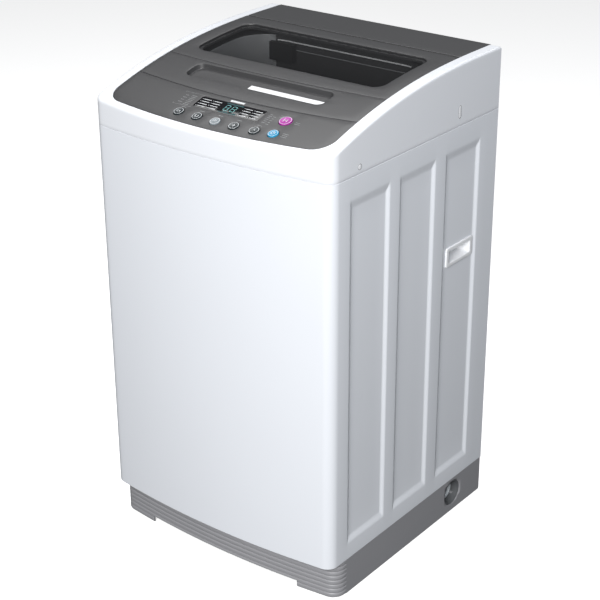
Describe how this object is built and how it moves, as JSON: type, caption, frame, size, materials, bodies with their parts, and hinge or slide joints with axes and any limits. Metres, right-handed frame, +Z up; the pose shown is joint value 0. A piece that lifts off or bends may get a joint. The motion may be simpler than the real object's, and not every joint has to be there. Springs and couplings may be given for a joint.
{
  "type": "top load washing machine",
  "caption": "Compact top load washing machine: white steel cabinet, grey base, domed dark top with folding windowed lid, push buttons, and a hung tub with basket, pulsator and belt drive.",
  "frame": {"origin": "on the floor, under the middle of the overall box", "axes": "+Z up, +Y from the front to the rear, +X to the right as seen from the front"},
  "size_m": [0.5158, 0.52, 0.905],
  "materials": {
    "cabinet": "gloss white enamel on steel sheet",
    "rear_cover": "gloss white enamel on steel sheet",
    "screws": "zinc plated",
    "base": "satin moulded plastic",
    "bottom_guard": "matt board",
    "fixed_feet": "matt rubber",
    "leveller_foot": "matt rubber on a threaded stem",
    "lock_nut": "zinc plated",
    "top_frame": "gloss moulded plastic",
    "frame_plugs": "gloss moulded plastic",
    "side_grip_right": "gloss moulded plastic",
    "side_grip_left": "gloss moulded plastic",
    "control_panel": "satin charcoal plastic",
    "display_window": "high gloss black",
    "control_box": "satin plastic",
    "circuit_board": "solder mask",
    "button_program": "satin dark cap",
    "button_level": "satin dark cap",
    "button_rinse": "satin light cap",
    "button_spin": "satin dark cap",
    "button_delay": "satin dark cap",
    "button_power": "magenta cap",
    "button_start": "cyan cap",
    "rear_deck": "satin charcoal plastic",
    "lid_rear": "satin charcoal plastic",
    "lid_window": "smoked clear",
    "lid_pins": "ground steel",
    "lid_magnet": "ferrite",
    "lid_front": "satin charcoal plastic",
    "handle_trim": "bright metallised",
    "reed_switch": "matt plastic",
    "inlet_valve": "satin nylon",
    "inlet_box": "satin plastic",
    "pressure_switch": "satin nylon",
    "air_tube": "matt rubber",
    "cord_gland": "matt plastic",
    "wiring_harness": "sleeved wires",
    "capacitor": "drawn can",
    "suspension_rods": "drawn steel",
    "spring_cups": "nylon",
    "suspension_springs": "oiled spring steel",
    "outer_tub": "satin polypropylene",
    "tub_ring": "satin polypropylene",
    "support_plate": "galvanised",
    "gearbox": "cast",
    "motor": "dipped steel laminations and end bells",
    "belt": "ribbed rubber",
    "drain_valve": "satin nylon",
    "drain_actuator": "matt plastic",
    "pull_link": "zinc plated strip",
    "brake_lever": "yellow passivated",
    "drain_hose": "grey rubber",
    "drain_outlet": "satin plastic",
    "basket": "brushed stainless",
    "balance_ring": "satin plastic",
    "hub_flange": "cast and machined",
    "lint_filter": "satin plastic",
    "impeller": "satin plastic",
    "drive_pulley": "cast",
    "motor_pulley": "turned"
  },
  "bodies": {
    "casing": {"cabinet": "cabinet", "rear_cover": "rear_cover", "screws": "screws", "base": "base", "bottom_guard": "bottom_guard", "fixed_feet": "fixed_feet", "lock_nut": "lock_nut", "top_frame": "top_frame", "frame_plugs": "frame_plugs", "side_grip_right": "side_grip_right", "side_grip_left": "side_grip_left", "control_panel": "control_panel", "display_window": "display_window", "control_box": "control_box", "circuit_board": "circuit_board", "rear_deck": "rear_deck", "reed_switch": "reed_switch", "inlet_valve": "inlet_valve", "inlet_box": "inlet_box", "pressure_switch": "pressure_switch", "air_tube": "air_tube", "cord_gland": "cord_gland", "wiring_harness": "wiring_harness", "capacitor": "capacitor", "suspension_rods": "suspension_rods", "spring_cups": "spring_cups", "suspension_springs": "suspension_springs", "drain_hose": "drain_hose", "drain_outlet": "drain_outlet"},
    "lid_rear": {"lid_rear": "lid_rear", "lid_window": "lid_window", "lid_pins": "lid_pins", "lid_magnet": "lid_magnet"},
    "lid_front": {"lid_front": "lid_front", "handle_trim": "handle_trim"},
    "levelling_foot": {"leveller_foot": "leveller_foot"},
    "tub": {"outer_tub": "outer_tub", "tub_ring": "tub_ring", "support_plate": "support_plate", "gearbox": "gearbox", "motor": "motor", "belt": "belt", "drain_valve": "drain_valve", "drain_actuator": "drain_actuator"},
    "basket": {"basket": "basket", "balance_ring": "balance_ring", "hub_flange": "hub_flange", "lint_filter": "lint_filter"},
    "impeller": {"impeller": "impeller"},
    "drive_pulley": {"drive_pulley": "drive_pulley"},
    "motor_pulley": {"motor_pulley": "motor_pulley"},
    "pull_link": {"pull_link": "pull_link"},
    "brake_lever": {"brake_lever": "brake_lever"},
    "button_program": {"button_program": "button_program"},
    "button_level": {"button_level": "button_level"},
    "button_rinse": {"button_rinse": "button_rinse"},
    "button_spin": {"button_spin": "button_spin"},
    "button_delay": {"button_delay": "button_delay"},
    "button_power": {"button_power": "button_power"},
    "button_start": {"button_start": "button_start"}
  },
  "joints": [
    {"name": "lid_hinge", "type": "hinge", "parent": "casing", "child": "lid_rear", "pos_m": [0, 0.148, 0.89949], "axis": [-1, 0, 0], "range_deg": [0, 92]},
    {"name": "lid_fold", "type": "hinge", "parent": "lid_rear", "child": "lid_front", "pos_m": [0, -0.068, 0.87284], "axis": [1, 0, 0], "range_deg": [0, 158]},
    {"name": "button_program_press", "type": "slide", "parent": "casing", "child": "button_program", "axis": [0, 0.3024, -0.9532], "range_m": [0, 0.001], "stiffness_N_per_m": 800, "springref_m": -0.0006},
    {"name": "button_level_press", "type": "slide", "parent": "casing", "child": "button_level", "axis": [0, 0.3024, -0.9532], "range_m": [0, 0.001], "stiffness_N_per_m": 800, "springref_m": -0.0006},
    {"name": "button_rinse_press", "type": "slide", "parent": "casing", "child": "button_rinse", "axis": [0, 0.3024, -0.9532], "range_m": [0, 0.001], "stiffness_N_per_m": 800, "springref_m": -0.0006},
    {"name": "button_spin_press", "type": "slide", "parent": "casing", "child": "button_spin", "axis": [0, 0.3024, -0.9532], "range_m": [0, 0.001], "stiffness_N_per_m": 800, "springref_m": -0.0006},
    {"name": "button_delay_press", "type": "slide", "parent": "casing", "child": "button_delay", "axis": [0, 0.3024, -0.9532], "range_m": [0, 0.001], "stiffness_N_per_m": 800, "springref_m": -0.0006},
    {"name": "button_power_press", "type": "slide", "parent": "casing", "child": "button_power", "axis": [0, 0.3024, -0.9532], "range_m": [0, 0.001], "stiffness_N_per_m": 800, "springref_m": -0.0006},
    {"name": "button_start_press", "type": "slide", "parent": "casing", "child": "button_start", "axis": [0, 0.3024, -0.9532], "range_m": [0, 0.001], "stiffness_N_per_m": 800, "springref_m": -0.0006},
    {"name": "foot_screw", "type": "slide", "parent": "casing", "child": "levelling_foot", "axis": [0, 0, -1], "range_m": [0, 0.012]},
    {"name": "tub_float", "type": "slide", "parent": "casing", "child": "tub", "axis": [0, 0, 1], "range_m": [-0.015, 0.01], "stiffness_N_per_m": 16000, "springref_m": 0.01741, "deforming": ["suspension_springs", "drain_hose", "air_tube"]},
    {"name": "basket_spin", "type": "hinge", "parent": "tub", "child": "basket", "pos_m": [0, 0, 0.35], "axis": [0, 0, 1], "continuous": true},
    {"name": "impeller_spin", "type": "hinge", "parent": "basket", "child": "impeller", "pos_m": [0, 0, 0.36], "axis": [0, 0, 1], "continuous": true},
    {"name": "drive_spin", "type": "hinge", "parent": "tub", "child": "drive_pulley", "pos_m": [0, 0, 0.16], "axis": [0, 0, 1], "continuous": true},
    {"name": "motor_spin", "type": "hinge", "parent": "tub", "child": "motor_pulley", "pos_m": [0.15, 0, 0.16], "axis": [0, 0, 1], "continuous": true},
    {"name": "link_pull", "type": "slide", "parent": "tub", "child": "pull_link", "axis": [-1, 0, 0], "range_m": [0, 0.014], "stiffness_N_per_m": 400, "springref_m": -0.012},
    {"name": "brake_swing", "type": "hinge", "parent": "tub", "child": "brake_lever", "pos_m": [-0.02, -0.072, 0.254], "axis": [0, 0, 1], "range_deg": [-16.5, 0]}
  ],
  "couplings": [
    {"joint": "lid_fold", "follows": "lid_hinge", "ratio": 1.7},
    {"joint": "drive_spin", "follows": "impeller_spin", "ratio": 5},
    {"joint": "motor_spin", "follows": "impeller_spin", "ratio": 16.5},
    {"joint": "brake_swing", "follows": "link_pull", "rad_per_m": -20}
  ]
}
